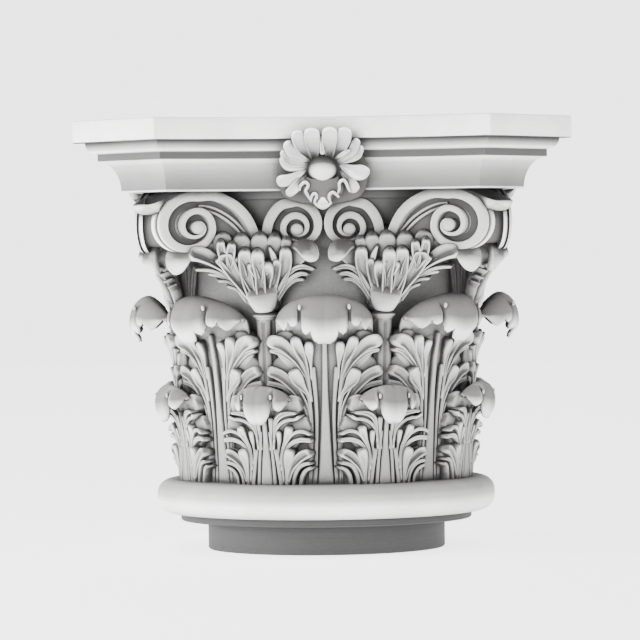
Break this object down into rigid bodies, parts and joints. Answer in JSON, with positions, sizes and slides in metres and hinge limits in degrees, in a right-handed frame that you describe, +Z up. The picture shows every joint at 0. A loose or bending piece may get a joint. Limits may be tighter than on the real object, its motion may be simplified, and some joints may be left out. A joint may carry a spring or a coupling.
{
  "type": "column capital",
  "caption": "Corinthian column capital in cast plaster: acanthus leaves and scrolls round a bell, under a hollow-sided abacus.",
  "frame": {"origin": "centre of the neck's underside", "axes": "+Z up along the column's axis, -Y towards the front face, +X to the right"},
  "size_m": [0.477, 0.477, 0.4212],
  "materials": {
    "plaster": "matte white cast plaster"
  },
  "bodies": {
    "root": {"capital": "plaster"}
  },
  "joints": []
}
